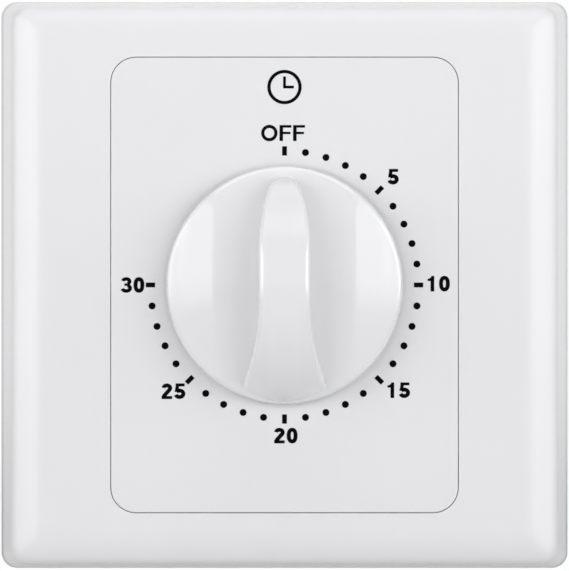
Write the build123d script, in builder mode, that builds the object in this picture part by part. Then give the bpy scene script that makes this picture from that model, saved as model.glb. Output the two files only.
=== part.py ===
"""Countdown timer switch for a wall box: a clip-on frame and dial panel over a clockwork that runs
a knob back from 30 minutes to OFF and then opens a pair of contacts.

Millimetres, +Z up. The wall is the plane Y = 0 and the front faces -Y. Depths are counted from the
wall, positive towards the room, so level(9) is the plane of the plate's face."""

import os
from math import asin, cos, degrees, radians, sin, tan

from build123d import *

# Wall plate, to the 86 mm standard with wall screws 60.3 mm apart
plate_size = 86.0
plate_depth = 9.0
plate_corner = 2.4
side_lean = 1.9
end_lean = 0.9
crown_rise = 1.4
side_crown = 4.9
end_crown = 4.5
frame_wall = 2.0
frame_draft = 14.0
wall_screw_inset = 12.85
wall_slot_width = 4.4
wall_slot_length = 8.0

# Dial panel in the frame's window
window_width = 0.612 * plate_size
window_height = 0.802 * plate_size
window_corner = 3.9
window_lip = 1.2
panel_gap = 0.1
panel_wall = 2.0
panel_edge = 0.2
skirt_wall = 1.4
leg_width = 5.0
leg_height = 22.0
leg_end = 0.4
panel_hole_gap = 0.7

# Base plate with its clips, bosses and screws
base_thick = 2.4
base_gap = 0.4
base_corner = 2.0
clip_wall = 1.4
clip_width = 7.0
clip_height = 22.0
clip_reach = 1.5
clip_grip = 0.6
catch_lift = 0.6
catch_thick = 1.0
catch_play = 0.2
nose_height = 1.8
relief_depth = 1.1
pocket_size = 11.0
pocket_inset = 2.5
pocket_depth = 1.2
barb_reach = 0.8
slot_gap = 0.2
base_hole_gap = 1.2
boss_radius = 3.2
boss_gap = 0.4
screw_radius = 1.4
screw_head_radius = 2.7
screw_head_height = 1.5
screw_gap = 0.15

# Knob, its form in shares of its radius
knob_radius = 0.2095 * plate_size
knob_lift = 0.5
skirt_height = 0.213 * knob_radius
skirt_draft = 5.0
rim_round = 0.7
dome_rise = 0.226 * knob_radius
bar_rise = 0.53 * knob_radius
bar_dome_radius = 1.06 * knob_radius
bar_tip = 0.9 * knob_radius
bar_tip_radius = 0.138 * knob_radius
bar_shoulder = 20.0
bar_waist = 0.213 * knob_radius
bar_flare = 0.12 * knob_radius
bar_tail = 0.428 * knob_radius
bar_edge = 0.8
bar_inset = 0.2
ridge_round = 4.0
floor_drop = 0.167 * knob_radius
floor_slope = 9.0
face_length = 2.75 * knob_radius
dimple_radius = 0.5
knob_wall = 2.0
hub_radius = 5.2
rib_wall = 1.2
rib_count = 6
bore_gap = 0.05
clip_leaf = 0.4
clip_leaf_width = 3.2
hollow_depth = 2.4

# Shaft
shaft_radius = 3.0
shaft_flat = 1.9
shaft_grip = 3.15
shaft_chamfer = 0.5
groove_radius = 1.4
groove_width = 0.6
bush_radius = 4.2
bush_lip = 1.2
bush_flange = 0.5
hook_depth = 1.2
clutch_radius = 5.6
clutch_leaf = 0.3
clutch_dish = 0.8
seat_radius = 2.5
tail_radius = 2.0
tail_flat = 1.5
collar_radius = 4.0
running_gap = 0.05

# Mainspring and barrel
movement_width = 0.512 * plate_size
barrel_radius = 0.3045 * movement_width
barrel_wall = 0.8
barrel_depth = 6.7
barrel_gap = 0.3
spring_start = 4.2
spring_half_turns = 14
spring_leaf = 0.3
spring_width = 4.5
spring_room = 0.84

# Clockwork plates and train
plate_thick = 1.0
pillar_inset = 3.5
pillar_radius = 2.0
tenon_radius = 1.2
wheel_thick = 1.0
level_step = 1.4
wheel_gap = 0.8
balance_gap = 0.7
great_teeth = 60
great_module = movement_width / 110
second_pinion_leaves = 10
second_teeth = 54
second_module = movement_width / 137.6
third_pinion_leaves = 9
third_teeth = 48
third_module = movement_width / 146.8
escape_pinion_leaves = 8
escape_teeth = 15
escape_radius = movement_width / 8.8
escape_root = 0.78 * escape_radius
second_angle = 207.0
third_angle = 316.0
escape_angle = 356.0
anchor_angle = 25.0
anchor_distance = 1.52 * escape_radius
anchor_swing = 4.0
pallet_angle = 50.0
pallet_radius = 0.3
pallet_gap = 0.15
balance_angle = 115.0
balance_reach = 1.3 * escape_radius
balance_weight_radius = 1.4
arbor_radius = 2.33 * third_module
pivot_radius = 1.5 * third_module
pinion_overlap = 0.4
arm_width = 0.9

# Switch
cam_gap = 0.8
cam_thick = 2.5
cam_radius = 4.2
cam_nose = 7.2
cam_nose_radius = 1.1
stop_radius = 0.8
stop_circle = 6.0
stop_gap = 0.1
leaf_thick = 0.3
leaf_width = 3.6
leaf_gap = 0.05
contact_gap = 1.0
rivet_radius = 1.1
rivet_height = 0.9
terminal_width = 6.0
terminal_length = 8.0
terminal_depth = 7.0
wire_radius = 2.0
wire_inset = 3.0
clamp_radius = 1.3
clamp_head_radius = 2.1
clamp_head_height = 1.4
driver_gap = 0.4
block_wall = 1.3
screw_slot = 0.6

# Rear housing
housing_wall = 2.0
housing_gap = 1.0
housing_corner = 3.0
housing_edge = 1.0
ear_radius = 3.6
ear_depth = 10.0
ear_sink = 0.6
fit_gap = 0.3

# Depths that follow from the sizes above
edge_depth = plate_depth - crown_rise
panel_back = plate_depth - panel_wall
base_size = plate_size - 2 * (frame_wall + base_gap + base_thick * tan(radians(frame_draft)))
barrel_front = -barrel_gap
movement_front = barrel_front - barrel_depth
front_back = movement_front - plate_thick
great_front = front_back - wheel_gap
great_back = great_front - wheel_thick
clutch_back = great_back - clutch_dish
collar_back = clutch_back - wheel_thick
second_front = great_back - level_step
second_back = second_front - wheel_thick
third_front = second_back - level_step
third_back = third_front - wheel_thick
escape_front = third_back - level_step
escape_back = escape_front - wheel_thick
balance_front = escape_back - balance_gap
balance_back = balance_front - wheel_thick
rear_front = balance_back - balance_gap
rear_back = rear_front - plate_thick
cam_front = rear_back - cam_gap
cam_back = cam_front - cam_thick
groove_front = cam_back - fit_gap
groove_back = groove_front - groove_width
shaft_back = groove_back - groove_width
barrel_floor = movement_front + barrel_wall
spring_back = barrel_floor + bush_flange + fit_gap
leaf_back = (cam_front + cam_back - leaf_width) / 2
leaf_front = leaf_back + leaf_width
terminal_front = rear_back - block_wall
terminal_back = terminal_front - terminal_depth
wire_depth = terminal_front - wire_inset
block_back = terminal_back - clamp_head_height - fit_gap
housing_floor = block_back - fit_gap
housing_back = housing_floor - housing_wall
catch_back = base_thick + catch_lift
catch_front = catch_back + catch_thick
nose_back = catch_front + catch_play
nose_front = nose_back + nose_height
knob_back = plate_depth + knob_lift
rim_depth = knob_back + skirt_height
dome_depth = rim_depth + dome_rise
floor_depth = dome_depth - floor_drop
shaft_front = rim_depth + shaft_grip
rim_radius = knob_radius - skirt_height * tan(radians(skirt_draft))
dome_radius = (rim_radius**2 + dome_rise**2) / (2 * dome_rise)
bar_foot = knob_back + skirt_height / 4
bar_reach = rim_radius - bar_inset

# Places in the plan, seen from the front: x to the right, z up
wall_screw_spacing = plate_size - 2 * wall_screw_inset
spring_pitch = 2 * (barrel_radius - barrel_wall - spring_room - spring_start) / spring_half_turns
movement_half = movement_width / 2
pillar_place = movement_half - pillar_inset
boss_place = barrel_radius + boss_radius + boss_gap
housing_inner = movement_width + 2 * housing_gap
housing_outer = housing_inner + 2 * housing_wall
ear_place = housing_outer / 2 + ear_radius - ear_sink
clip_out = plate_size / 2 - frame_wall - nose_front * tan(radians(frame_draft)) - clip_reach - fit_gap
panel_width = window_width - 2 * panel_gap
panel_height = window_height - 2 * panel_gap
panel_hole = shaft_radius + panel_hole_gap
base_hole = shaft_radius + base_hole_gap
cam_nose_centre = cam_nose - cam_nose_radius
stop_turn = degrees(asin((cam_nose_radius + stop_radius + stop_gap) / stop_circle))
moving_x = -cam_nose - leaf_gap - leaf_thick / 2
fixed_x = moving_x + leaf_thick + 2 * rivet_height + contact_gap
contact_z = -cam_nose - rivet_radius
block_left = fit_gap - housing_inner / 2
block_half = housing_inner / 2 - fit_gap
terminal_x = block_left + block_wall + (fit_gap + terminal_width) / 2
terminal_z = block_half - block_wall - (fit_gap + terminal_length) / 2
block_right = terminal_x + (terminal_width + fit_gap) / 2 + block_wall
tail_z = terminal_z - terminal_length / 4
slot_outer = panel_width / 2 + slot_gap
slot_inner = panel_width / 2 - skirt_wall - barb_reach


def polar(centre, radius, angle):
    return (centre[0] + radius * cos(radians(angle)), centre[1] + radius * sin(radians(angle)))


def level(depth):
    return Plane.XZ.offset(depth)


shaft_at = (0.0, 0.0)
second_at = polar(shaft_at, great_module * (great_teeth + second_pinion_leaves) / 2, second_angle)
third_at = polar(second_at, second_module * (second_teeth + third_pinion_leaves) / 2, third_angle)
escape_at = polar(third_at, third_module * (third_teeth + escape_pinion_leaves) / 2, escape_angle)
anchor_at = polar(escape_at, anchor_distance, anchor_angle)
pallet_circle = escape_radius + pallet_radius + pallet_gap + anchor_distance * sin(radians(anchor_swing))
pallets_at = [polar(escape_at, pallet_circle, anchor_angle + side * pallet_angle) for side in (-1, 1)]
stops_at = [polar(shaft_at, stop_circle, 180 + stop_turn), polar(shaft_at, stop_circle, 270 - stop_turn)]

# Planes for sections: width against depth, and height against depth
across = Plane((0, 0, 0), x_dir=(1, 0, 0), z_dir=(0, 0, -1))
upright = Plane((0, 0, 0), x_dir=(0, 0, 1), z_dir=(1, 0, 0))

# Proportions of clock teeth, in modules: wheel teeth are pointed, pinion leaves are thin and short
wheel_tooth = (1.45, 1.15, 1.2, 0.3)
pinion_leaf = (1.15, 0.65, 1.45, 0.35)


def toothed(centre, teeth, module, angle, tooth):
    """Corners of a toothed outline with one tooth pointing along the angle, all flanks radial."""
    thickness, addendum, dedendum, tip_share = tooth
    pitch = module * teeth / 2
    half = degrees(thickness * module / 2 / pitch)
    root = pitch - dedendum * module
    tip = pitch + addendum * module
    corners = []
    for number in range(teeth):
        middle = angle + 360 * number / teeth
        corners.append(polar(centre, root, middle - half))
        corners.append(polar(centre, pitch, middle - half))
        corners.append(polar(centre, tip, middle - half * tip_share))
        corners.append(polar(centre, tip, middle + half * tip_share))
        corners.append(polar(centre, pitch, middle + half))
        corners.append(polar(centre, root, middle + half))
    return corners


os.makedirs("parts", exist_ok=True)

# Outer frame: leaning sides, crowned face, hollow back, window with a lip, four catches
with BuildPart() as outer_frame:
    with BuildSketch(Plane.XZ):
        RectangleRounded(plate_size, plate_size, plate_corner)
    with BuildSketch(level(plate_depth)):
        lean_share = plate_depth / edge_depth
        RectangleRounded(
            plate_size - 2 * side_lean * lean_share, plate_size - 2 * end_lean * lean_share, plate_corner
        )
    loft(ruled=True)
    for plane, lean, crown in ((across, side_lean, side_crown), (upright, end_lean, end_crown)):
        edge = plate_size / 2 - lean
        flat = edge - crown
        with BuildSketch(plane):
            with BuildLine():
                Line((-flat, plate_depth), (flat, plate_depth))
                TangentArc((flat, plate_depth), (edge, edge_depth), tangent=(1, 0))
                Polyline(
                    (edge, edge_depth),
                    (plate_size, edge_depth),
                    (plate_size, -1),
                    (-plate_size, -1),
                    (-plate_size, edge_depth),
                    (-edge, edge_depth),
                )
                TangentArc((-flat, plate_depth), (-edge, edge_depth), tangent=(-1, 0))
            make_face()
        extrude(amount=plate_size, both=True, mode=Mode.INTERSECT)
    with BuildSketch(Plane.XZ):
        RectangleRounded(plate_size - 2 * frame_wall, plate_size - 2 * frame_wall, plate_corner)
    extrude(amount=panel_back, taper=frame_draft, mode=Mode.SUBTRACT)
    with BuildSketch(level(base_thick + fit_gap)):
        RectangleRounded(
            window_width + 2 * window_lip, window_height + 2 * window_lip, window_corner + window_lip
        )
    extrude(amount=panel_back - base_thick)
    with BuildSketch(Plane.XZ):
        RectangleRounded(window_width, window_height, window_corner)
    extrude(amount=plate_depth, mode=Mode.SUBTRACT)
    catch_inner = clip_out + clip_reach - clip_grip
    catch_outer = plate_size / 2 - frame_wall
    with BuildSketch(level(catch_back)):
        with GridLocations(catch_inner + catch_outer, 2 * clip_height, 2, 2):
            Rectangle(catch_outer - catch_inner, clip_width + 2)
    extrude(amount=catch_front - catch_back)
outer_frame.part.label = "outer_frame"
export_step(outer_frame.part, "parts/outer_frame.step")

# Base plate: wall slots, four clips for the frame, slots for the panel's legs, bosses for the movement
with BuildPart() as base_plate:
    with BuildSketch(Plane.XZ):
        RectangleRounded(base_size, base_size, base_corner)
    extrude(amount=base_thick)
    with BuildSketch(Plane.XZ):
        with Locations((boss_place, 0), (-boss_place, 0)):
            Circle(boss_radius)
    extrude(amount=movement_front)
    with BuildSketch(level(base_thick)):
        with GridLocations(2 * clip_out - clip_wall, 2 * clip_height, 2, 2):
            Rectangle(clip_wall, clip_width)
    extrude(amount=nose_front - base_thick)
    for height in (-clip_height, clip_height):
        with BuildSketch(Plane((0, 0, height), x_dir=(1, 0, 0), z_dir=(0, 0, -1))):
            for side in (-1, 1):
                with BuildLine():
                    Polyline(
                        (side * (clip_out - clip_wall / 2), nose_back),
                        (side * (clip_out + clip_reach), nose_back),
                        (side * clip_out, nose_front),
                        (side * (clip_out - clip_wall / 2), nose_front),
                        close=True,
                    )
                make_face()
        extrude(amount=clip_width / 2, both=True)
    with BuildSketch(Plane.XZ):
        with Locations((wall_screw_spacing / 2, 0), (-wall_screw_spacing / 2, 0)):
            SlotOverall(wall_slot_length, wall_slot_width)
        Circle(base_hole)
        with Locations((0, ear_place), (0, -ear_place)):
            Circle(screw_radius + screw_gap)
        with GridLocations(slot_outer + slot_inner, 2 * leg_height, 2, 2):
            Rectangle(slot_outer - slot_inner, leg_width + 2 * fit_gap)
    extrude(amount=base_thick, mode=Mode.SUBTRACT)
    with BuildSketch(level(base_thick)):
        with Locations((boss_place, 0), (-boss_place, 0)):
            Circle(screw_radius + screw_gap)
    extrude(amount=movement_front - base_thick, mode=Mode.SUBTRACT)
    with BuildSketch(Plane.XZ):
        with GridLocations(2 * slot_outer, 2 * leg_height, 2, 2):
            Rectangle(2 * barb_reach + fit_gap, leg_width + 2 * fit_gap)
    extrude(amount=relief_depth, mode=Mode.SUBTRACT)
    with BuildSketch(Plane.XZ):
        pocket_place = base_size / 2 - pocket_inset - pocket_size / 2
        with GridLocations(2 * pocket_place, 2 * pocket_place, 2, 2):
            RectangleRounded(pocket_size, pocket_size, base_corner)
    extrude(amount=pocket_depth, mode=Mode.SUBTRACT)
base_plate.part.label = "base_plate"
export_step(base_plate.part, "parts/base_plate.step")

# Dial panel: a flat face on a skirt, with four barbed legs through the base plate
with BuildPart() as dial_panel:
    with BuildSketch(level(panel_back)):
        RectangleRounded(panel_width, panel_height, window_corner - panel_gap)
    extrude(amount=panel_wall)
    fillet(dial_panel.faces().sort_by(Axis.Y)[0].edges(), panel_edge)
    with BuildSketch(level(base_thick)):
        RectangleRounded(panel_width, panel_height, window_corner - panel_gap)
        RectangleRounded(
            panel_width - 2 * skirt_wall,
            panel_height - 2 * skirt_wall,
            window_corner - panel_gap - skirt_wall,
            mode=Mode.SUBTRACT,
        )
    extrude(amount=panel_back - base_thick)
    with BuildSketch(level(base_thick)):
        with GridLocations(panel_width - skirt_wall, 2 * leg_height, 2, 2):
            Rectangle(skirt_wall, leg_width)
    extrude(amount=leg_end - base_thick)
    for height in (-leg_height, leg_height):
        with BuildSketch(Plane((0, 0, height), x_dir=(1, 0, 0), z_dir=(0, 0, -1))):
            for side in (-1, 1):
                with BuildLine():
                    Polyline(
                        (side * (panel_width - skirt_wall) / 2, leg_end),
                        (side * panel_width / 2, leg_end),
                        (side * (panel_width / 2 + barb_reach), relief_depth - leaf_gap),
                        (side * (panel_width - skirt_wall) / 2, relief_depth - leaf_gap),
                        close=True,
                    )
                make_face()
        extrude(amount=leg_width / 2, both=True)
    with BuildSketch(level(panel_back)):
        Circle(panel_hole + skirt_wall)
    extrude(amount=-skirt_wall)
    with BuildSketch(level(base_thick)):
        Circle(panel_hole)
    extrude(amount=plate_depth - base_thick, mode=Mode.SUBTRACT)
dial_panel.part.label = "dial_panel"
export_step(dial_panel.part, "parts/dial_panel.step")

# Grip bar of the knob: a narrow tip that points at the dial, a fish tail below, a curved spine
with BuildPart() as grip_bar:
    with BuildSketch(level(bar_foot)):
        with BuildLine():
            tip_x, tip_z = polar((0, bar_tip - bar_tip_radius), bar_tip_radius, bar_shoulder)
            lean = radians(bar_shoulder)
            shoulder_z = tip_z - (bar_waist - tip_x) * sin(lean) / (1 - cos(lean))
            ThreePointArc((-tip_x, tip_z), (0, bar_tip), (tip_x, tip_z))
            for side in (-1, 1):
                heading = (side * sin(lean), -cos(lean))
                TangentArc((side * tip_x, tip_z), (side * bar_waist, shoulder_z), tangent=heading)
                Line((side * bar_waist, shoulder_z), (side * bar_waist, -bar_flare))
                TangentArc((side * bar_waist, -bar_flare), (side * bar_tail, -knob_radius), tangent=(0, -1))
            Line((-bar_tail, -knob_radius), (bar_tail, -knob_radius))
        make_face()
    extrude(amount=rim_depth + bar_rise - bar_foot)
    with Locations((0, bar_dome_radius - rim_depth - bar_rise, 0)):
        Sphere(bar_dome_radius, mode=Mode.INTERSECT)
    crest = grip_bar.faces().filter_by(GeomType.SPHERE)
    fillet(crest.edges().filter_by(GeomType.CIRCLE, reverse=True), bar_edge)
    with BuildSketch(level(bar_foot)):
        Circle(bar_reach)
    extrude(amount=rim_depth + bar_rise - bar_foot, mode=Mode.INTERSECT)

# Knob's face without the bar: a shallow dome, two finger floors that slope to the middle, soft ridges
with BuildPart() as knob_face:
    with BuildSketch(across) as face_section:
        with Locations((0, dome_depth - dome_radius)):
            Circle(dome_radius)
        with Locations((0, knob_back)):
            Rectangle(2 * knob_radius, 4 * skirt_height, mode=Mode.INTERSECT)
        for side in (-1, 1):
            with BuildLine():
                Polyline(
                    (0, floor_depth),
                    (side * knob_radius, floor_depth + knob_radius * tan(radians(floor_slope))),
                    (0, dome_depth + dome_rise),
                    close=True,
                )
            make_face(mode=Mode.SUBTRACT)
        fillet(face_section.vertices().sort_by(Axis.Y)[-2:], ridge_round)
    revolve(axis=Axis((0, face_length - dome_depth, 0), (1, 0, 0)))

# Knob: a leaning skirt cut off by the face, the bar, a hollow back with hub, ribs and D bore
with BuildPart() as knob:
    with BuildSketch(level(knob_back)):
        Circle(knob_radius)
    extrude(amount=dome_depth - knob_back, taper=skirt_draft)
    add(knob_face.part, mode=Mode.INTERSECT)
    fillet(knob.edges().filter_by(GeomType.BSPLINE), rim_round)
    add(grip_bar.part)
    with Locations((0, -rim_depth, rim_radius)):
        Sphere(dimple_radius, mode=Mode.SUBTRACT)
    with BuildSketch(across):
        with BuildLine():
            Polyline(
                (0, knob_back),
                (knob_radius - knob_wall, knob_back),
                (knob_radius - knob_wall, knob_back + hollow_depth / 2),
                (knob_radius - 3 * knob_wall, knob_back + hollow_depth),
                (0, knob_back + hollow_depth),
                close=True,
            )
        make_face()
    revolve(axis=Axis.Y, mode=Mode.SUBTRACT)
    with BuildSketch(level(knob_back)):
        Circle(hub_radius)
    extrude(amount=hollow_depth + knob_lift)
    with BuildSketch(level(knob_back + knob_lift)):
        with PolarLocations((hub_radius + knob_radius - knob_wall) / 2, rib_count):
            Rectangle(knob_radius - hub_radius, rib_wall)
    extrude(amount=hollow_depth)
    with BuildSketch(level(knob_back)):
        Circle(shaft_radius + bore_gap)
        with Locations((shaft_flat + clip_leaf + 2 * bore_gap + shaft_radius, 0)):
            Rectangle(2 * shaft_radius, 2 * shaft_radius, mode=Mode.SUBTRACT)
    extrude(amount=shaft_front - knob_back + fit_gap, mode=Mode.SUBTRACT)
knob.part.label = "knob"
export_step(knob.part, "parts/knob.step")

# Knob clip: a leaf spring between the bore's flat and the shaft's flat
with BuildPart() as knob_clip:
    with BuildSketch(level(knob_back + fit_gap)):
        with Locations((shaft_flat + bore_gap + clip_leaf / 2, 0)):
            Rectangle(clip_leaf, clip_leaf_width)
    extrude(amount=shaft_front - knob_back - fit_gap)
knob_clip.part.label = "knob_clip"
export_step(knob_clip.part, "parts/knob_clip.step")

# Main shaft: D end for the knob, slot for the mainspring, seat and collar for the great wheel, cam tail
with BuildPart() as main_shaft:
    with BuildSketch(across):
        with BuildLine():
            Polyline(
                (0, shaft_front),
                (shaft_radius - shaft_chamfer, shaft_front),
                (shaft_radius, shaft_front - shaft_chamfer),
                (shaft_radius, great_front),
                (seat_radius, great_front),
                (seat_radius, clutch_back),
                (collar_radius, clutch_back),
                (collar_radius, collar_back),
                (tail_radius, collar_back),
                (tail_radius, groove_front),
                (groove_radius, groove_front),
                (groove_radius, groove_back),
                (tail_radius, groove_back),
                (tail_radius, shaft_back),
                (0, shaft_back),
                close=True,
            )
        make_face()
    revolve(axis=Axis.Y)
    with BuildSketch(level(knob_back)):
        with Locations((shaft_flat + shaft_radius, 0)):
            Rectangle(2 * shaft_radius, 2 * shaft_radius)
    extrude(amount=shaft_front - knob_back, mode=Mode.SUBTRACT)
    with BuildSketch(level(cam_front)):
        with Locations((tail_flat + tail_radius, 0)):
            Rectangle(2 * tail_radius, 2 * tail_radius)
    extrude(amount=shaft_back - cam_front, mode=Mode.SUBTRACT)
    with BuildSketch(level(spring_back - fit_gap)):
        with Locations((shaft_radius, -spring_leaf / 2)):
            Rectangle(2 * hook_depth, spring_leaf + 2 * fit_gap)
    extrude(amount=spring_width + 2 * fit_gap, mode=Mode.SUBTRACT)
main_shaft.part.label = "main_shaft"
export_step(main_shaft.part, "parts/main_shaft.step")

# Front bush: riveted through the front plate, its flange clamps the barrel's floor
with BuildPart() as front_bush:
    with BuildSketch(across):
        with BuildLine():
            Polyline(
                (shaft_radius + running_gap, barrel_floor + bush_flange),
                (bush_radius + bush_lip, barrel_floor + bush_flange),
                (bush_radius + bush_lip, barrel_floor),
                (bush_radius, barrel_floor),
                (bush_radius, front_back),
                (shaft_radius + running_gap, front_back),
                close=True,
            )
        make_face()
    revolve(axis=Axis.Y)
front_bush.part.label = "front_bush"
export_step(front_bush.part, "parts/front_bush.step")

# Rear bush of the shaft
with BuildPart() as rear_bush:
    with BuildSketch(level(rear_back)):
        Circle(tail_radius + bush_lip)
        Circle(tail_radius + running_gap, mode=Mode.SUBTRACT)
    extrude(amount=plate_thick + bush_flange)
rear_bush.part.label = "rear_bush"
export_step(rear_bush.part, "parts/rear_bush.step")

# Spring barrel: an open cup on the front plate, slotted for the outer end of the mainspring
with BuildPart() as spring_barrel:
    with BuildSketch(level(movement_front)):
        Circle(barrel_radius)
    extrude(amount=barrel_depth)
    with BuildSketch(level(barrel_floor)):
        Circle(barrel_radius - barrel_wall)
    extrude(amount=barrel_depth, mode=Mode.SUBTRACT)
    with BuildSketch(level(movement_front)):
        Circle(bush_radius + running_gap)
    extrude(amount=barrel_wall, mode=Mode.SUBTRACT)
    with BuildSketch(level(barrel_floor)):
        with Locations((barrel_radius, spring_leaf / 2)):
            Rectangle(4 * barrel_wall, spring_leaf + 2 * fit_gap)
    extrude(amount=barrel_depth, mode=Mode.SUBTRACT)
spring_barrel.part.label = "spring_barrel"
export_step(spring_barrel.part, "parts/spring_barrel.step")

# Mainspring: a flat spiral of half turns about two centres, hooked in the shaft and in the barrel
with BuildPart() as mainspring:
    with BuildSketch(level(spring_back)):
        spring_end = spring_start + spring_half_turns * spring_pitch / 2
        with BuildLine():
            for side in (-1, 1):
                for turn in range(spring_half_turns):
                    odd = turn % 2
                    radius = spring_start + (turn * spring_pitch + side * spring_leaf) / 2
                    CenterArc((odd * spring_pitch / 2, 0), radius, 180 * odd, 180)
            Line((spring_start - spring_leaf / 2, 0), (spring_start + spring_leaf / 2, 0))
            Line((spring_end - spring_leaf / 2, 0), (spring_end + spring_leaf / 2, 0))
        make_face()
        inner_tab = spring_start + spring_leaf / 2 - shaft_radius + hook_depth - fit_gap
        with Locations((spring_start + spring_leaf / 2 - inner_tab / 2, -spring_leaf / 2)):
            Rectangle(inner_tab, spring_leaf)
        outer_tab = barrel_radius - spring_end + spring_leaf / 2
        with Locations((barrel_radius - outer_tab / 2, spring_leaf / 2)):
            Rectangle(outer_tab, spring_leaf)
    extrude(amount=spring_width)
mainspring.part.label = "mainspring"
export_step(mainspring.part, "parts/mainspring.step")

# Great wheel on the shaft, with round crossings
with BuildPart() as great_wheel:
    with BuildSketch(level(great_back)):
        with BuildLine():
            Polyline(*toothed(shaft_at, great_teeth, great_module, second_angle, wheel_tooth), close=True)
        make_face()
        Circle(seat_radius + running_gap, mode=Mode.SUBTRACT)
        with PolarLocations(0.29 * great_teeth * great_module, 5):
            Circle(0.11 * great_teeth * great_module, mode=Mode.SUBTRACT)
    extrude(amount=wheel_thick)
great_wheel.part.label = "great_wheel"
export_step(great_wheel.part, "parts/great_wheel.step")

# Clutch spring: a dished washer that presses the great wheel against the shaft's shoulder
with BuildPart() as clutch_spring:
    with BuildSketch(across):
        with BuildLine():
            Polyline(
                (seat_radius + running_gap, clutch_back),
                (seat_radius + running_gap, clutch_back + clutch_leaf),
                (clutch_radius, great_back),
                (clutch_radius, great_back - clutch_leaf),
                close=True,
            )
        make_face()
    revolve(axis=Axis.Y)
clutch_spring.part.label = "clutch_spring"
export_step(clutch_spring.part, "parts/clutch_spring.step")

# Shaft clip behind the cam
with BuildPart() as shaft_clip:
    with BuildSketch(level(groove_back + running_gap)):
        Circle(collar_radius)
        Circle(groove_radius + running_gap, mode=Mode.SUBTRACT)
        with Locations((0, -collar_radius / 2)):
            Rectangle(1.6 * groove_radius, collar_radius, mode=Mode.SUBTRACT)
    extrude(amount=groove_front - groove_back - 2 * running_gap)
shaft_clip.part.label = "shaft_clip"
export_step(shaft_clip.part, "parts/shaft_clip.step")

# Front and rear plates of the movement, drilled for pillars, pivots, bushes, screws and stops
pivots_at = (second_at, third_at, escape_at, anchor_at)
with BuildPart() as front_plate:
    with BuildSketch(level(front_back)):
        RectangleRounded(movement_width, movement_width, pillar_radius)
        Circle(bush_radius + running_gap, mode=Mode.SUBTRACT)
        with Locations(*pivots_at):
            Circle(pivot_radius + running_gap, mode=Mode.SUBTRACT)
        with GridLocations(2 * pillar_place, 2 * pillar_place, 2, 2):
            Circle(tenon_radius + running_gap, mode=Mode.SUBTRACT)
        with Locations((boss_place, 0), (-boss_place, 0)):
            Circle(screw_radius + running_gap, mode=Mode.SUBTRACT)
    extrude(amount=plate_thick)
front_plate.part.label = "front_plate"
export_step(front_plate.part, "parts/front_plate.step")

with BuildPart() as rear_plate:
    with BuildSketch(level(rear_back)):
        RectangleRounded(movement_width, movement_width, pillar_radius)
        Circle(tail_radius + bush_lip + running_gap, mode=Mode.SUBTRACT)
        with Locations(*pivots_at):
            Circle(pivot_radius + running_gap, mode=Mode.SUBTRACT)
        with GridLocations(2 * pillar_place, 2 * pillar_place, 2, 2):
            Circle(tenon_radius + running_gap, mode=Mode.SUBTRACT)
        with Locations(*stops_at):
            Circle(stop_radius + running_gap, mode=Mode.SUBTRACT)
    extrude(amount=plate_thick)
rear_plate.part.label = "rear_plate"
export_step(rear_plate.part, "parts/rear_plate.step")

# Four pillars with tenons riveted flush in the plates
with BuildPart() as plate_pillars:
    with BuildSketch(level(rear_front)):
        with GridLocations(2 * pillar_place, 2 * pillar_place, 2, 2):
            Circle(pillar_radius)
    extrude(amount=front_back - rear_front)
    with BuildSketch(level(rear_back)):
        with GridLocations(2 * pillar_place, 2 * pillar_place, 2, 2):
            Circle(tenon_radius)
    extrude(amount=movement_front - rear_back)
plate_pillars.part.label = "plate_pillars"
export_step(plate_pillars.part, "parts/plate_pillars.step")

# Two stop pins that end the knob's turn
with BuildPart() as stop_pins:
    with BuildSketch(level(cam_back)):
        with Locations(*stops_at):
            Circle(stop_radius)
    extrude(amount=rear_front - cam_back)
stop_pins.part.label = "stop_pins"
export_step(stop_pins.part, "parts/stop_pins.step")

# Arbors with their pinions: pivots in the plates, leaves cut to mesh with the wheel before
pinions = (
    ("second_arbor", second_at, second_pinion_leaves, great_module, second_angle, great_front),
    ("third_arbor", third_at, third_pinion_leaves, second_module, third_angle, second_front),
    ("escape_arbor", escape_at, escape_pinion_leaves, third_module, escape_angle, third_front),
)
for name, place, leaves, module, angle, wheel_front in pinions:
    with BuildPart() as arbor:
        with BuildSketch(level(rear_back + running_gap)):
            with Locations(place):
                Circle(pivot_radius)
        extrude(amount=movement_front - rear_back - 2 * running_gap)
        with BuildSketch(level(rear_front + fit_gap)):
            with Locations(place):
                Circle(arbor_radius)
        extrude(amount=front_back - rear_front - 2 * fit_gap)
        with BuildSketch(level(wheel_front - wheel_thick - pinion_overlap)):
            with BuildLine():
                turned = angle + 180 + 180 / leaves
                Polyline(*toothed(place, leaves, module, turned, pinion_leaf), close=True)
            make_face()
        extrude(amount=wheel_thick + 2 * pinion_overlap)
    arbor.part.label = name
    export_step(arbor.part, f"parts/{name}.step")

# Second and third wheels on their arbors
wheels = (
    ("second_wheel", second_at, second_teeth, second_module, third_angle, second_back),
    ("third_wheel", third_at, third_teeth, third_module, escape_angle, third_back),
)
for name, place, teeth, module, angle, back in wheels:
    with BuildPart() as wheel:
        with BuildSketch(level(back)):
            with BuildLine():
                Polyline(*toothed(place, teeth, module, angle, wheel_tooth), close=True)
            make_face()
            with Locations(place):
                Circle(arbor_radius + running_gap, mode=Mode.SUBTRACT)
                with PolarLocations(0.28 * teeth * module, 5):
                    Circle(0.12 * teeth * module, mode=Mode.SUBTRACT)
        extrude(amount=wheel_thick)
    wheel.part.label = name
    export_step(wheel.part, f"parts/{name}.step")

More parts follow.
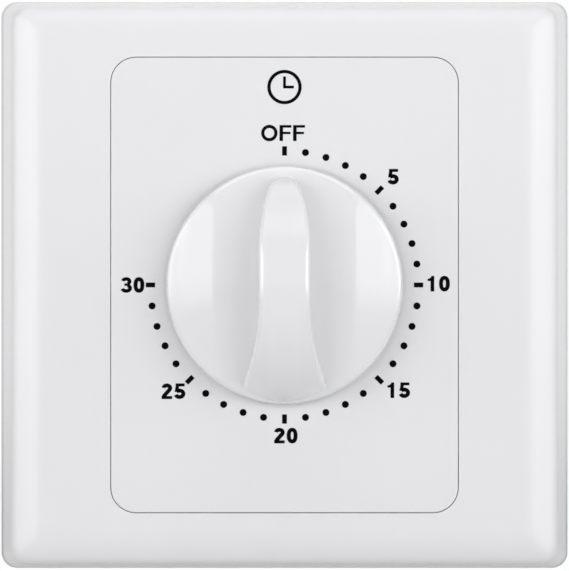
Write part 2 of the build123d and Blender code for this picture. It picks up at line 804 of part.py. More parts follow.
# Escape wheel with leaning teeth
with BuildPart() as escape_wheel:
    with BuildSketch(level(escape_back)):
        with BuildLine():
            corners = []
            for number in range(escape_teeth):
                middle = 360 * number / escape_teeth
                corners.append(polar(escape_at, escape_root, middle - 4))
                corners.append(polar(escape_at, escape_radius, middle - 1))
                corners.append(polar(escape_at, escape_radius, middle + 1))
                corners.append(polar(escape_at, escape_root, middle + 10))
            Polyline(*corners, close=True)
        make_face()
        with Locations(escape_at):
            Circle(arbor_radius + running_gap, mode=Mode.SUBTRACT)
            with PolarLocations(0.52 * escape_radius, 4):
                Circle(0.16 * escape_radius, mode=Mode.SUBTRACT)
    extrude(amount=wheel_thick)
escape_wheel.part.label = "escape_wheel"
export_step(escape_wheel.part, "parts/escape_wheel.step")

# Anchor: two arms with pallet pins that straddle the escape wheel
with BuildPart() as anchor:
    with BuildSketch(level(escape_back)):
        with BuildLine():
            for pallet in pallets_at:
                Line(anchor_at, pallet)
        trace(line_width=arm_width)
        with Locations(anchor_at):
            Circle(arbor_radius + arm_width)
        with Locations(*pallets_at):
            Circle(arm_width / 2)
        with Locations(anchor_at):
            Circle(arbor_radius + running_gap, mode=Mode.SUBTRACT)
    extrude(amount=wheel_thick)
    with BuildSketch(level(escape_back)):
        with Locations(*pallets_at):
            Circle(pallet_radius)
    extrude(amount=wheel_thick + pinion_overlap)
anchor.part.label = "anchor"
export_step(anchor.part, "parts/anchor.step")

with BuildPart() as anchor_arbor:
    with BuildSketch(level(rear_back + running_gap)):
        with Locations(anchor_at):
            Circle(pivot_radius)
    extrude(amount=movement_front - rear_back - 2 * running_gap)
    with BuildSketch(level(rear_front + fit_gap)):
        with Locations(anchor_at):
            Circle(arbor_radius)
    extrude(amount=front_back - rear_front - 2 * fit_gap)
anchor_arbor.part.label = "anchor_arbor"
export_step(anchor_arbor.part, "parts/anchor_arbor.step")

# Balance bar with a weight at each end
with BuildPart() as balance_bar:
    with BuildSketch(level(balance_back)):
        ends = [polar(anchor_at, balance_reach, balance_angle + turn) for turn in (0, 180)]
        with BuildLine():
            Line(*ends)
        trace(line_width=balance_weight_radius)
        with Locations(*ends):
            Circle(balance_weight_radius)
        with Locations(anchor_at):
            Circle(arbor_radius + arm_width)
            Circle(arbor_radius + running_gap, mode=Mode.SUBTRACT)
    extrude(amount=wheel_thick)
balance_bar.part.label = "balance_bar"
export_step(balance_bar.part, "parts/balance_bar.step")

# Switch cam: a round hub with one nose that holds the contacts open at OFF
with BuildPart() as switch_cam:
    with BuildSketch(level(cam_back)):
        Circle(cam_radius)
        with Locations((-cam_nose_centre / 2, 0)):
            Rectangle(cam_nose_centre, 2 * cam_nose_radius)
        with Locations((-cam_nose_centre, 0)):
            Circle(cam_nose_radius)
        Circle(tail_radius + running_gap, mode=Mode.SUBTRACT)
        with Locations((tail_flat + running_gap + tail_radius / 2, 0)):
            Rectangle(tail_radius, 2 * tail_radius)
    extrude(amount=cam_thick)
switch_cam.part.label = "switch_cam"
export_step(switch_cam.part, "parts/switch_cam.step")

# Contact block: an insulating carrier with a pocket for each terminal and slots for the leaves
with BuildPart() as contact_block:
    with BuildSketch(level(block_back)):
        with Locations(((block_left + block_right) / 2, 0)):
            Rectangle(block_right - block_left, 2 * block_half)
    extrude(amount=rear_back - block_back)
    with BuildSketch(level(block_back)):
        with Locations((terminal_x, terminal_z), (terminal_x, -terminal_z)):
            Rectangle(terminal_width + fit_gap, terminal_length + fit_gap)
        with Locations((terminal_x, 0)):
            Rectangle(terminal_width, 2 * (terminal_z - terminal_length / 2 - block_wall) - fit_gap)
    extrude(amount=terminal_front - block_back, mode=Mode.SUBTRACT)
    with BuildSketch(level(block_back)):
        with Locations((block_right, tail_z), (block_right, -tail_z)):
            Rectangle(2 * (block_wall + fit_gap), leaf_thick + 2 * fit_gap)
    extrude(amount=leaf_front + fit_gap / 2 - block_back, mode=Mode.SUBTRACT)
    for side in (-1, 1):
        with BuildSketch(Plane.XY.offset(side * terminal_z)):
            with Locations((terminal_x, -wire_depth)):
                Circle(wire_radius)
        extrude(amount=side * (block_half - terminal_z), mode=Mode.SUBTRACT)
contact_block.part.label = "contact_block"
export_step(contact_block.part, "parts/contact_block.step")

# Terminals: brass blocks with a wire bore and a tapped hole for the clamp screw
for name, side in (("line_terminal", 1), ("load_terminal", -1)):
    with BuildPart() as terminal:
        with BuildSketch(level(terminal_back)):
            with Locations((terminal_x, side * terminal_z)):
                Rectangle(terminal_width, terminal_length)
        extrude(amount=terminal_depth)
        with BuildSketch(Plane.XY.offset(side * terminal_z - terminal_length / 2)):
            with Locations((terminal_x, -wire_depth)):
                Circle(wire_radius)
        extrude(amount=terminal_length, mode=Mode.SUBTRACT)
        with BuildSketch(level(terminal_back)):
            with Locations((terminal_x, side * terminal_z)):
                Circle(clamp_radius + running_gap)
        extrude(amount=wire_depth - terminal_back, mode=Mode.SUBTRACT)
    terminal.part.label = name
    export_step(terminal.part, f"parts/{name}.step")

# Clamp screws of the terminals, slotted
with BuildPart() as clamp_screws:
    with BuildSketch(level(terminal_back)):
        with Locations((terminal_x, terminal_z), (terminal_x, -terminal_z)):
            Circle(clamp_head_radius)
    extrude(amount=-clamp_head_height)
    with BuildSketch(level(terminal_back)):
        with Locations((terminal_x, terminal_z), (terminal_x, -terminal_z)):
            Circle(clamp_radius)
    extrude(amount=wire_depth - wire_radius - running_gap - terminal_back)
    with BuildSketch(level(terminal_back - clamp_head_height)):
        with Locations((terminal_x, terminal_z), (terminal_x, -terminal_z)):
            Rectangle(2 * clamp_head_radius, screw_slot)
    extrude(amount=clamp_head_height / 2, mode=Mode.SUBTRACT)
clamp_screws.part.label = "clamp_screws"
export_step(clamp_screws.part, "parts/clamp_screws.step")

# Moving contact leaf: bent from the line terminal past the cam's nose
with BuildPart() as moving_leaf:
    with BuildSketch(level(leaf_back)):
        with BuildLine():
            Polyline(
                (terminal_x + terminal_width / 2, tail_z),
                (moving_x, tail_z),
                (moving_x, contact_z - rivet_radius - leaf_thick),
            )
        trace(line_width=leaf_thick)
    extrude(amount=leaf_width)
moving_leaf.part.label = "moving_leaf"
export_step(moving_leaf.part, "parts/moving_leaf.step")

# Fixed contact leaf: bent from the load terminal to face the moving contact
with BuildPart() as fixed_leaf:
    with BuildSketch(level(leaf_back)):
        with BuildLine():
            Polyline(
                (terminal_x + terminal_width / 2, -tail_z),
                (fixed_x, -tail_z),
                (fixed_x, contact_z + rivet_radius + leaf_thick),
            )
        trace(line_width=leaf_thick)
    extrude(amount=leaf_width)
fixed_leaf.part.label = "fixed_leaf"
export_step(fixed_leaf.part, "parts/fixed_leaf.step")

# Contact rivets, one on each leaf
for name, face, side in (("moving_rivet", moving_x, 1), ("fixed_rivet", fixed_x, -1)):
    with BuildPart() as rivet:
        with BuildSketch(Plane.YZ.offset(face + side * leaf_thick / 2)):
            with Locations((-(leaf_front + leaf_back) / 2, contact_z)):
                Circle(rivet_radius)
        extrude(amount=side * rivet_height)
    rivet.part.label = name
    export_step(rivet.part, f"parts/{name}.step")

# Rear housing: a box with ears, wire holes above and below, screwdriver holes behind
with BuildPart() as rear_housing:
    with BuildSketch(level(housing_back)):
        RectangleRounded(housing_outer, housing_outer, housing_corner)
    extrude(amount=-housing_back)
    fillet(rear_housing.faces().sort_by(Axis.Y)[-1].edges(), housing_edge)
    with BuildSketch(level(-ear_depth)):
        with Locations((0, ear_place), (0, -ear_place)):
            Circle(ear_radius)
        Rectangle(2 * ear_radius, 2 * ear_place)
    extrude(amount=ear_depth)
    with BuildSketch(level(housing_floor)):
        RectangleRounded(housing_inner, housing_inner, housing_corner - housing_wall)
    extrude(amount=-housing_floor, mode=Mode.SUBTRACT)
    with BuildSketch(level(-ear_depth)):
        with Locations((0, ear_place), (0, -ear_place)):
            Circle(screw_radius + screw_gap)
    extrude(amount=ear_depth, mode=Mode.SUBTRACT)
    with BuildSketch(level(housing_back)):
        with Locations((terminal_x, terminal_z), (terminal_x, -terminal_z)):
            Circle(clamp_head_radius + driver_gap)
    extrude(amount=housing_wall, mode=Mode.SUBTRACT)
    with BuildSketch(Plane.XY.offset(-housing_outer / 2)):
        with Locations((terminal_x, -wire_depth)):
            Circle(wire_radius)
    extrude(amount=housing_outer, mode=Mode.SUBTRACT)
rear_housing.part.label = "rear_housing"
export_step(rear_housing.part, "parts/rear_housing.step")

# Screws from the front: two hold the movement to the bosses, two hold the housing's ears
screws = (
    ("movement_screws", ((boss_place, 0), (-boss_place, 0)), front_back - screw_radius),
    ("housing_screws", ((0, ear_place), (0, -ear_place)), screw_radius - ear_depth),
)
for name, places, end in screws:
    with BuildPart() as screw_set:
        with BuildSketch(level(base_thick)):
            with Locations(*places):
                Circle(screw_head_radius)
        extrude(amount=screw_head_height)
        with BuildSketch(level(base_thick)):
            with Locations(*places):
                Circle(screw_radius)
        extrude(amount=end - base_thick)
        with BuildSketch(level(base_thick + screw_head_height)):
            with Locations(*places):
                Rectangle(2 * screw_head_radius, screw_slot)
        extrude(amount=-screw_head_height / 2, mode=Mode.SUBTRACT)
    screw_set.part.label = name
    export_step(screw_set.part, f"parts/{name}.step")
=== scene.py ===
"""Dresses the countdown timer switch for a square-on studio picture: white mouldings, a printed dial,
and the brass, steel, springs and phenolic of the clockwork behind them. Metres, in the frame of the solids."""

from math import copysign, cos, pi, radians, sin

import bmesh
import bpy
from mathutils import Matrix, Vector


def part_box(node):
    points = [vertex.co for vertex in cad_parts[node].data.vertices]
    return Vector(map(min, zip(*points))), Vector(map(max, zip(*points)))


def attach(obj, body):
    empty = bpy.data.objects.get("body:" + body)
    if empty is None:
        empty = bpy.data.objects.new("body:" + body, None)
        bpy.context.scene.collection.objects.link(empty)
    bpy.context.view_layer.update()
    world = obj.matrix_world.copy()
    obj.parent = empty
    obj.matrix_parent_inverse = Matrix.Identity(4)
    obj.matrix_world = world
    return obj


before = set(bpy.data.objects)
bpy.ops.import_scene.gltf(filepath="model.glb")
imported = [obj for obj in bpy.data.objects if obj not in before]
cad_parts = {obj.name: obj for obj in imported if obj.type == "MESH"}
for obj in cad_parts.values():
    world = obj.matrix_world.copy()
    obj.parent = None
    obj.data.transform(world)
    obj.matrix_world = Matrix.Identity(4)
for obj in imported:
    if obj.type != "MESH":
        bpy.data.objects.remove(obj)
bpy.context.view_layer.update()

mm = 0.001

# Places on the front, read from the solids
panel_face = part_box("dial_panel")[0].y
window_half = (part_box("dial_panel")[1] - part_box("dial_panel")[0]) / 2
floor_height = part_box("outer_frame")[0].z

# Dial print, in millimetres about the knob's axis
ink_film = 0.025
dial_radius = 20.25
minute_turn = 9.0
minutes = 30
tick_every = 5
tick_length = 1.4
tick_width = 0.72
dot_radius = 0.53
numeral_height = 2.36
numeral_pitch = 1.92
word_height = 2.4
numerals = {
    "5": (16.4, 16.35),
    "10": (23.2, 0.2),
    "15": (17.15, -15.9),
    "20": (0.2, -22.75),
    "25": (-16.8, -16.05),
    "30": (-22.95, 0.0),
}
off_place = (-0.4, 22.95)
off_letters = (("O", -3.15), ("F", -0.35), ("F", 1.7))
clock_place = (0.0, 29.9)
clock_radius = 2.35
clock_stroke = 0.5
hand_stroke = 0.42
hub_gap = 0.1
minute_hand = 0.68 * clock_radius
hour_hand = 0.6 * clock_radius

# Shapes of the signs, in shares of their height
numeral_stroke = 0.255
numeral_width = 0.66
word_stroke = 0.205
sign_spread = 1.07

# Finish of the plate's outer edges
rim_softness = 2.6 * mm

# Extra polish where fingers rub the knob: the bar's sides where they lean outward, out to a reach, and the rim
bar_reach = 8.4 * mm
bar_fade = (0.94, 1.0)
bar_lean = (0.1, 0.25)
knob_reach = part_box("knob")[1].x
rim_band = (0.945, 0.965)
rubbed_roughness = 0.12
rubbed_ior = 1.7

# Camera
camera_distance = 1.5
camera_drop = 0.08 * mm
picture_rows = 571
rows_per_mm = 6.58
picture_height = picture_rows / rows_per_mm * mm
sensor = 36.0
view_end = 10

# Floor below the plate, with its own glow near the plate and the rise of that glow one metre off
floor_gap = 30 * mm
floor_reach = 2.5
floor_glow = 0.26
floor_rise = 0.45

# Light from the surroundings: from all sides, more from above, and from behind
even_light = 0.04
sky_light = 0.04
back_light = 0.56

# Lamps: azimuth and elevation in degrees, distance, width and height in metres, power in watts
lamps = {
    "left_softbox": (-60, 8, 0.7, 0.36, 0.5, 1.23),
    "right_softbox": (60, 8, 0.7, 0.36, 0.5, 1.33),
    "left_inner_softbox": (-33, 8, 0.7, 0.33, 0.5, 1.22),
    "right_inner_softbox": (33, 8, 0.7, 0.33, 0.5, 1.22),
    "left_strip": (-81, 6, 0.7, 0.06, 0.5, 0.26),
    "right_strip": (81, 6, 0.7, 0.06, 0.5, 0.27),
    "near_softbox": (0, 54, 0.24, 0.2, 0.08, 0.062),
    "top_softbox": (0, 74, 0.5, 0.5, 0.2, 0.26),
    "rear_softbox": (180, 69, 0.7, 0.5, 0.6, 1.15),
}


class Value:
    """An output in a node tree. Arithmetic on values adds Math nodes."""

    def __init__(self, finish, socket):
        self.finish = finish
        self.socket = socket

    def math(self, operation, first, second):
        return self.finish.node("ShaderNodeMath", {"operation": operation}, {0: first, 1: second})

    def __add__(self, other):
        return self.math("ADD", self, other)

    def __radd__(self, other):
        return self.math("ADD", other, self)

    def __sub__(self, other):
        return self.math("SUBTRACT", self, other)

    def __rsub__(self, other):
        return self.math("SUBTRACT", other, self)

    def __mul__(self, other):
        return self.math("MULTIPLY", self, other)

    def __rmul__(self, other):
        return self.math("MULTIPLY", other, self)

    def __abs__(self):
        return self.math("ABSOLUTE", self, 0)

    def sign(self):
        return self.math("SIGN", self, 0)

    def at_least(self, other):
        return self.math("MAXIMUM", self, other)

    def at_most(self, other):
        return self.math("MINIMUM", self, other)


class Finish:
    """A node tree being written: node() adds any node, mix() blends two colours, shade() feeds the shader."""

    def __init__(self, tree):
        self.tree = tree

    def put(self, socket, value):
        if isinstance(value, Value):
            self.tree.links.new(value.socket, socket)
        else:
            socket.default_value = value

    def node(self, kind, settings, inputs, output=0):
        made = self.tree.nodes.new(kind)
        for name, setting in settings.items():
            if name == "stops":
                for element, (place, level) in zip(made.color_ramp.elements, setting):
                    element.position = place
                    element.color = (level, level, level, 1)
            else:
                setattr(made, name, setting)
        for name, value in inputs.items():
            self.put(made.inputs[name], value)
        return Value(self, made.outputs[output])

    def place(self, stretch=(1, 1, 1)):
        point = self.node("ShaderNodeTexCoord", {}, {}, "Object")
        return self.node("ShaderNodeVectorMath", {"operation": "MULTIPLY"}, {0: point, 1: stretch})

    def along(self, vector, axis):
        return self.node("ShaderNodeSeparateXYZ", {}, {0: vector}, "XYZ".index(axis))

    def length(self, vector):
        return self.node("ShaderNodeVectorMath", {"operation": "LENGTH"}, {0: vector}, "Value")

    def ray(self, name):
        return self.node("ShaderNodeLightPath", {}, {}, name)

    def noise(self, size, detail=2.0, stretch=(1, 1, 1)):
        """Cloudy values about 0.5 whose patches are as wide as size, in metres."""
        where = self.place(stretch)
        return self.node("ShaderNodeTexNoise", {}, {"Vector": where, "Scale": 1 / size, "Detail": detail})

    def step(self, value, low, high):
        """0 up to low, 1 from high on, and a slope between them."""
        ramp = {"stops": ((low, 0.0), (high, 1.0))}
        return self.node("ShaderNodeValToRGB", ramp, {"Fac": value})

    def mix(self, share, first, second):
        inputs = {0: share, 6: (*first, 1) if isinstance(first, tuple) else first, 7: (*second, 1)}
        return self.node("ShaderNodeMix", {"data_type": "RGBA"}, inputs, 2)

    def bump(self, height, depth, strength=1.0, over=None):
        """Relief as deep as depth, on the surface's own normals or on those given."""
        inputs = {"Height": height, "Distance": depth, "Strength": strength}
        if over:
            inputs["Normal"] = over
        return self.node("ShaderNodeBump", {}, inputs)

    def shade(self, **sockets):
        shader = self.tree.nodes["Principled BSDF"]
        for name, value in sockets.items():
            self.put(shader.inputs[name.replace("_", " ")], value)


def material(name):
    made = bpy.data.materials.new(name)
    made.use_nodes = True
    return made, Finish(made.node_tree)


def softened_rim(finish):
    """Normals that run smoothly over the plate's outer edges and corners, and stay crisp at its window."""
    point = finish.place()
    beside = abs(finish.along(point, "X")) - window_half.x
    above = abs(finish.along(point, "Z")) - window_half.z
    outside = (beside.at_least(above) - rim_softness) * (1 / mm)
    share = outside.at_least(0).at_most(1)
    plain = finish.node("ShaderNodeNewGeometry", {}, {}, "Normal")
    soft = finish.node("ShaderNodeBevel", {"samples": 8}, {"Radius": rim_softness})
    return finish.node("ShaderNodeMix", {"data_type": "VECTOR"}, {0: share, 4: plain, 5: soft}, 1)


def rubbed_edges(finish):
    """Share of extra polish on the knob's rim and on the rounded edges and sides of its bar, where fingers rub."""
    lean = finish.along(finish.node("ShaderNodeTexCoord", {}, {}, "Normal"), "X")
    across = finish.along(finish.place(), "X")
    within = 1 - finish.step(abs(across) * (1 / bar_reach), *bar_fade)
    bar = finish.step(lean * across.sign(), *bar_lean) * within
    from_axis = finish.length(finish.place((1, 0, 1)))
    rim = finish.step(from_axis * (1 / knob_reach), *rim_band)
    return bar.at_least(rim)


def white_moulding(name, light, dark, polish, gloss, grain_size, grain_depth, rim=None, rubbed=None):
    """Glossy white plastic: faint clouding, a fine mould grain and patches of handling in the gloss."""
    made, finish = material(name)
    cloud = finish.noise(18 * mm)
    handling = finish.noise(6 * mm, 4.0)
    grain = finish.noise(grain_size, 3.0)
    finish.shade(
        Base_Color=finish.mix(cloud, light, dark),
        Roughness=polish + 0.015 * (handling - 0.5) + 0.02 * (grain - 0.5),
        Specular_IOR_Level=gloss,
        Normal=finish.bump(grain, grain_depth, 0.3, rim(finish) if rim else None),
        Coat_Weight=rubbed(finish) if rubbed else 0.0,
        Coat_Roughness=rubbed_roughness,
        Coat_IOR=rubbed_ior,
    )
    return made


def eroded_moulding(name, light, dark):
    """Matt plastic with the pitted grain of a spark-eroded mould and faint flow marks."""
    made, finish = material(name)
    pits = finish.node("ShaderNodeTexVoronoi", {}, {"Vector": finish.place(), "Scale": 1 / (0.35 * mm)})
    grain = finish.noise(0.18 * mm, 4.0)
    flow = finish.noise(14 * mm, 3.0, (1, 0.3, 2.5))
    finish.shade(
        Base_Color=finish.mix(flow * 0.7 + grain * 0.3, light, dark),
        Roughness=0.5 + 0.2 * grain,
        IOR=1.5,
        Normal=finish.bump(pits * 0.6 + grain * 0.4, 0.02 * mm, 0.5),
    )
    return made


def pressed_phenolic(name):
    """Dark brown resin with pale wood-flour flecks and a dull pressed skin."""
    made, finish = material(name)
    clouds = finish.noise(4 * mm, 4.0)
    flecks = finish.step(finish.noise(0.25 * mm, 3.0), 0.62, 0.7)
    body = finish.mix(clouds, (0.055, 0.03, 0.018), (0.1, 0.056, 0.03))
    finish.shade(
        Base_Color=finish.mix(flecks * 0.6, body, (0.23, 0.15, 0.08)),
        Roughness=0.38 + 0.2 * clouds,
        IOR=1.6,
        Normal=finish.bump(clouds + flecks * 0.3, 0.01 * mm, 0.4),
    )
    return made


def worked_metal(name, light, dark, polish, lines, stretch, tarnish):
    """Bare metal with tool lines of the given width along one direction and patches of tarnish."""
    made, finish = material(name)
    marks = finish.noise(lines, 3.0, stretch)
    patches = finish.noise(5 * mm, 4.0)
    stains = finish.step(patches, 0.5, 0.72) * tarnish
    stain = tuple(0.55 * part for part in dark)
    finish.shade(
        Base_Color=finish.mix(stains, finish.mix(marks, light, dark), stain),
        Metallic=1.0,
        Roughness=polish + 0.16 * (marks - 0.5) + 0.25 * stains,
        Normal=finish.bump(marks, 0.004 * mm, 0.5),
    )
    return made


def blued_strip(name):
    """Tempered spring steel: blue with straw-coloured bands and fine rolling lines."""
    made, finish = material(name)
    temper = finish.step(finish.noise(3 * mm, 2.0), 0.42, 0.66)
    lines = finish.noise(0.12 * mm, 3.0, (0.2, 1, 0.2))
    blue = finish.mix(lines, (0.07, 0.1, 0.19), (0.11, 0.15, 0.25))
    finish.shade(
        Base_Color=finish.mix(temper * 0.7, blue, (0.3, 0.22, 0.12)),
        Metallic=1.0,
        Roughness=0.26 + 0.14 * lines,
        Normal=finish.bump(lines, 0.003 * mm, 0.5),
    )
    return made


def pad_ink(name):
    """Black printing ink, nearly even, with a slight mottle where the pad lifted."""
    made, finish = material(name)
    mottle = finish.noise(0.4 * mm, 3.0)
    finish.shade(
        Base_Color=finish.mix(mottle, (0.002, 0.002, 0.0025), (0.004, 0.004, 0.0045)),
        Roughness=0.5 + 0.2 * mottle,
        Specular_IOR_Level=0.02,
        Normal=finish.bump(mottle, 0.004 * mm, 0.4),
    )
    return made


# Directions of the tool lines on metal: rolled sheet, turned bar, drawn sheet, cut heads, none
rolled = (1, 1, 0.1)
turned = (0.1, 1, 0.1)
drawn = (1, 1, 0.08)
headed = (1, 0.3, 1)
unlined = (1, 1, 1)

plate_white = white_moulding(
    "plate_white", (0.84, 0.84, 0.855), (0.82, 0.82, 0.835),
    polish=0.22, gloss=0.62, grain_size=0.3 * mm, grain_depth=0.003 * mm, rim=softened_rim,
)
panel_white = white_moulding(
    "panel_white", (0.83, 0.83, 0.845), (0.815, 0.815, 0.83),
    polish=0.28, gloss=0.5, grain_size=0.2 * mm, grain_depth=0.004 * mm,
)
knob_white = white_moulding(
    "knob_white", (0.84, 0.84, 0.855), (0.825, 0.825, 0.84),
    polish=0.1, gloss=0.48, grain_size=0.4 * mm, grain_depth=0.002 * mm, rubbed=rubbed_edges,
)
base_grey = eroded_moulding("base_grey", (0.72, 0.72, 0.7), (0.66, 0.66, 0.64))
phenolic = pressed_phenolic("phenolic")
wheel_brass = worked_metal(
    "wheel_brass", (0.7, 0.5, 0.2), (0.55, 0.36, 0.13),
    polish=0.3, lines=0.15 * mm, stretch=rolled, tarnish=0.5,
)
turned_brass = worked_metal(
    "turned_brass", (0.72, 0.53, 0.23), (0.6, 0.42, 0.17),
    polish=0.24, lines=0.1 * mm, stretch=turned, tarnish=0.35,
)
leaf_bronze = worked_metal(
    "leaf_bronze", (0.62, 0.36, 0.18), (0.48, 0.26, 0.12),
    polish=0.28, lines=0.12 * mm, stretch=rolled, tarnish=0.4,
)
arbor_steel = worked_metal(
    "arbor_steel", (0.56, 0.56, 0.57), (0.42, 0.42, 0.44),
    polish=0.2, lines=0.08 * mm, stretch=turned, tarnish=0.25,
)
plate_zinc = worked_metal(
    "plate_zinc", (0.64, 0.65, 0.64), (0.5, 0.51, 0.5),
    polish=0.36, lines=0.2 * mm, stretch=drawn, tarnish=0.45,
)
screw_zinc = worked_metal(
    "screw_zinc", (0.66, 0.65, 0.6), (0.5, 0.49, 0.45),
    polish=0.3, lines=0.1 * mm, stretch=headed, tarnish=0.4,
)
contact_silver = worked_metal(
    "contact_silver", (0.8, 0.79, 0.77), (0.66, 0.65, 0.62),
    polish=0.18, lines=0.08 * mm, stretch=unlined, tarnish=0.5,
)
spring_blue = blued_strip("spring_blue")
dial_ink = pad_ink("dial_ink")

finishes = {
    plate_white: ("outer_frame",),
    panel_white: ("dial_panel",),
    knob_white: ("knob",),
    base_grey: ("base_plate", "rear_housing"),
    phenolic: ("contact_block", "switch_cam"),
    wheel_brass: ("great_wheel", "second_wheel", "third_wheel", "escape_wheel"),
    turned_brass: ("front_bush", "rear_bush", "plate_pillars", "line_terminal", "load_terminal"),
    leaf_bronze: ("moving_leaf", "fixed_leaf"),
    arbor_steel: ("main_shaft", "second_arbor", "third_arbor", "escape_arbor", "anchor", "anchor_arbor",
                  "balance_bar", "shaft_clip", "stop_pins"),
    plate_zinc: ("front_plate", "rear_plate", "spring_barrel"),
    spring_blue: ("mainspring", "clutch_spring", "knob_clip"),
    screw_zinc: ("clamp_screws", "movement_screws", "housing_screws"),
    contact_silver: ("moving_rivet", "fixed_rivet"),
}
for finish, names in finishes.items():
    for name in names:
        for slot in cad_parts[name].material_slots:
            slot.material = finish


class Print:
    """A thin film of ink on the panel's face, drawn in millimetres with x to the right and z up."""

    def __init__(self, name):
        self.name = name
        self.mesh = bmesh.new()

    def face(self, corners):
        made = [self.mesh.verts.new((x * mm, panel_face, z * mm)) for x, z in corners]
        self.mesh.faces.new(made)

    def ribbon(self, path, width, closed=False):
        """A stroke of even width along a path, with square ends."""
        count = len(path)
        sides = []
        for number, (x, z) in enumerate(path):
            before = path[number - 1] if number or closed else path[number]
            after = path[(number + 1) % count] if number + 1 < count or closed else path[number]
            run = Vector((after[0] - before[0], after[1] - before[1])).normalized() * width / 2
            sides.append(((x - run.y, z + run.x), (x + run.y, z - run.x)))
        for number in range(count if closed else count - 1):
            (left, right), (next_left, next_right) = sides[number], sides[(number + 1) % count]
            self.face((left, next_left, next_right, right))

    def lay(self, ink):
        """Gives the film its thickness and puts it on the switch."""
        bmesh.ops.remove_doubles(self.mesh, verts=self.mesh.verts, dist=0.001 * mm)
        bmesh.ops.recalc_face_normals(self.mesh, faces=self.mesh.faces)
        for face in self.mesh.faces:
            if face.normal.y > 0:
                face.normal_flip()
        grown = bmesh.ops.extrude_face_region(self.mesh, geom=list(self.mesh.faces))["geom"]
        raised = [item for item in grown if isinstance(item, bmesh.types.BMVert)]
        bmesh.ops.translate(self.mesh, verts=raised, vec=(0, -ink_film * mm, 0))
        data = bpy.data.meshes.new(self.name)
        self.mesh.to_mesh(data)
        self.mesh.free()
        data.materials.append(ink)
        film = bpy.data.objects.new(self.name, data)
        bpy.context.scene.collection.objects.link(film)
        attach(film, "switch_body")


def arc(centre, across, up, start, end, steps=24, square=2.0):
    """Points on an oval from one angle to another, in degrees; square above 2 fills out its corners."""
    points = []
    for number in range(steps + 1):
        angle = radians(start + (end - start) * number / steps)
        x = copysign(abs(cos(angle)) ** (2 / square), cos(angle))
        z = copysign(abs(sin(angle)) ** (2 / square), sin(angle))
        points.append((centre[0] + across * x, centre[1] + up * z))
    return points


def ring(centre, across, up, steps, square=2.0):
    """Points all round an oval."""
    return arc(centre, across, up, 0, 360, steps, square)[:-1]


def draw(sheet, sign, left, bottom, height, stroke):
    """One numeral or letter on a sheet, its strokes in shares of its height."""

    def face(*corners):
        sheet.face(scaled(corners))

    def block(x0, z0, x1, z1):
        face((x0, z0), (x1, z0), (x1, z1), (x0, z1))

    def ribbon(path, width=stroke, closed=False):
        sheet.ribbon(scaled(path), width * height, closed)

    def scaled(points):
        return [(left + sign_spread * x * height, bottom + z * height) for x, z in points]

    half = stroke / 2
    if sign == "0":
        ribbon(ring((0.33, 0.5), 0.33 - half, 0.5 - half, 40, 2.4), closed=True)
    if sign == "O":
        ribbon(ring((0.49, 0.5), 0.49 - half, 0.52 - half, 40), closed=True)
    if sign == "1":
        face((0.26, 0), (0.48, 0), (0.48, 1), (0.32, 1), (0.27, 0.89), (0.19, 0.83), (0.08, 0.81), (0.08, 0.67),
             (0.26, 0.67))
    if sign == "2":
        bowl = arc((0.325, 0.7), 0.325 - half, 0.3 - half, 175, -35, 20)
        ribbon(bowl + [(0.17, 0.22), (0.12, 0.1)])
        block(0.01, 0, 0.64, 0.19)
    if sign == "3":
        slim = 0.9 * stroke
        ribbon(arc((0.33, 0.73), 0.32 - slim / 2, 0.27 - slim / 2, 170, -70, 20), slim)
        ribbon(arc((0.33, 0.295), 0.35 - slim / 2, 0.295 - slim / 2, 70, -170, 20), slim)
        block(0.22, 0.44, 0.42, 0.6)
    if sign == "5":
        block(0.09, 0.81, 0.63, 1)
        face((0.03, 0.44), (0.24, 0.5), (0.3, 0.81), (0.09, 0.81))
        ribbon(arc((0.32, 0.335), 0.36 - half, 0.335 - half, 140, -162, 24))
    if sign == "F":
        block(0, 0, stroke, 1)
        block(stroke, 0.84, 0.7, 1)
        block(stroke, 0.43, 0.64, 0.58)


# Minute marks: a bar at each fifth minute, dots between
minute_marks = Print("minute_marks")
for minute in range(minutes + 1):
    heading = radians(90 - minute_turn * minute)
    outward = Vector((cos(heading), sin(heading)))
    middle = outward * dial_radius
    if minute % tick_every == 0:
        ends = [tuple(middle + outward * side * tick_length / 2) for side in (-1, 1)]
        minute_marks.ribbon(ends, tick_width)
    else:
        minute_marks.face(ring(middle, dot_radius, dot_radius, 20))
minute_marks.lay(dial_ink)

# Numerals round the dial and the word at its top
for number, (x, z) in numerals.items():
    sheet = Print("numeral_" + number)
    width = numeral_pitch * (len(number) - 1) + numeral_width * sign_spread * numeral_height
    for place, sign in enumerate(number):
        left = x - width / 2 + place * numeral_pitch
        draw(sheet, sign, left, z - numeral_height / 2, numeral_height, numeral_stroke)
    sheet.lay(dial_ink)

off_word = Print("off_word")
for sign, left in off_letters:
    draw(off_word, sign, off_place[0] + left, off_place[1] - word_height / 2, word_height, word_stroke)
off_word.lay(dial_ink)

# Clock sign above the dial: a ring and two hands
clock_sign = Print("clock_sign")
clock_x, clock_z = clock_place
clock_sign.ribbon(ring(clock_place, clock_radius, clock_radius, 48), clock_stroke, True)
clock_sign.ribbon([(clock_x, clock_z + hub_gap), (clock_x, clock_z + minute_hand)], hand_stroke)
clock_sign.ribbon([(clock_x - hand_stroke / 2, clock_z), (clock_x + hour_hand, clock_z)], hand_stroke)
clock_sign.lay(dial_ink)

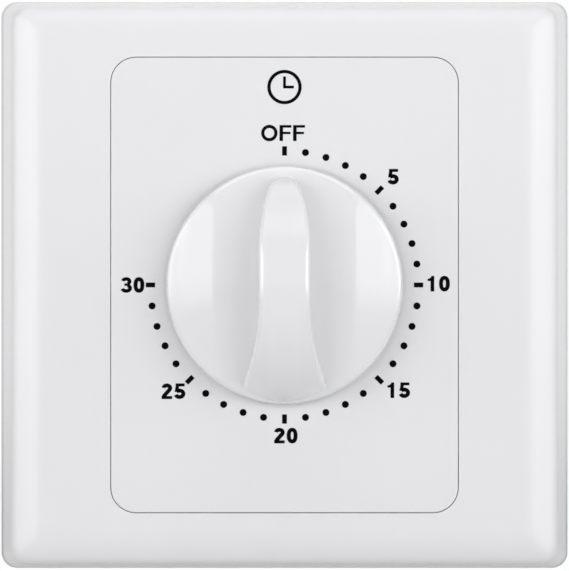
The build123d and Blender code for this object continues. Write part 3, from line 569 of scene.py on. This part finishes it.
# Floor, world, lights and camera
floor_mesh = bmesh.new()
bmesh.ops.create_grid(floor_mesh, x_segments=8, y_segments=8, size=floor_reach)
floor_data = bpy.data.meshes.new("floor")
floor_mesh.to_mesh(floor_data)
floor_mesh.free()
floor = bpy.data.objects.new("floor", floor_data)
floor.location = (0, 0, floor_height - floor_gap)
bpy.context.scene.collection.objects.link(floor)
floor_paper, finish = material("floor_paper")
far = finish.length(finish.place())
lit = finish.ray("Is Camera Ray") * (floor_glow + floor_rise * far.at_most(1))
finish.shade(
    Base_Color=finish.mix(finish.noise(60 * mm), (0.86, 0.86, 0.86), (0.84, 0.84, 0.84)),
    Roughness=0.8,
    Emission_Color=finish.mix(lit, (0, 0, 0), (1, 1, 1)),
    Emission_Strength=1.0,
)
floor_data.materials.append(floor_paper)

world = bpy.data.worlds.new("studio")
world.use_nodes = True
bpy.context.scene.world = world
finish = Finish(world.node_tree)
seen = finish.ray("Is Camera Ray").at_least(finish.ray("Is Glossy Ray")).at_least(finish.ray("Is Transmission Ray"))
heading = finish.node("ShaderNodeTexCoord", {}, {}, "Generated")
backward = finish.along(heading, "Y").at_least(0)
upward = finish.along(heading, "Z")
light = even_light + sky_light * upward + back_light * backward
backdrop = world.node_tree.nodes["Background"]
finish.put(backdrop.inputs["Color"], (1, 1, 1, 1))
finish.put(backdrop.inputs["Strength"], seen + (1 - seen) * light)


def softbox(name, azimuth, elevation, distance, width, height, power):
    """A soft rectangular lamp aimed at the plate; azimuth 0 is straight in front, positive to the right."""
    turn, climb = radians(azimuth), radians(elevation)
    away = Vector((sin(turn) * cos(climb), -cos(turn) * cos(climb), sin(climb)))
    lamp = bpy.data.lights.new(name, "AREA")
    lamp.shape = "RECTANGLE"
    lamp.size = width
    lamp.size_y = height
    lamp.energy = power
    box = bpy.data.objects.new(name, lamp)
    box.location = away * distance
    box.rotation_euler = (-away).to_track_quat("-Z", "Y").to_euler()
    box.visible_camera = False
    bpy.context.scene.collection.objects.link(box)


for name, setting in lamps.items():
    softbox(name, *setting)

camera = bpy.data.objects.new("camera", bpy.data.cameras.new("camera"))
camera.data.sensor_width = sensor
camera.data.lens = sensor * camera_distance / picture_height
camera.data.clip_end = view_end
camera.location = (0, -camera_distance, -camera_drop)
camera.rotation_euler = (pi / 2, 0, 0)
bpy.context.scene.collection.objects.link(camera)
bpy.context.scene.camera = camera
bpy.context.scene.view_settings.view_transform = "Standard"
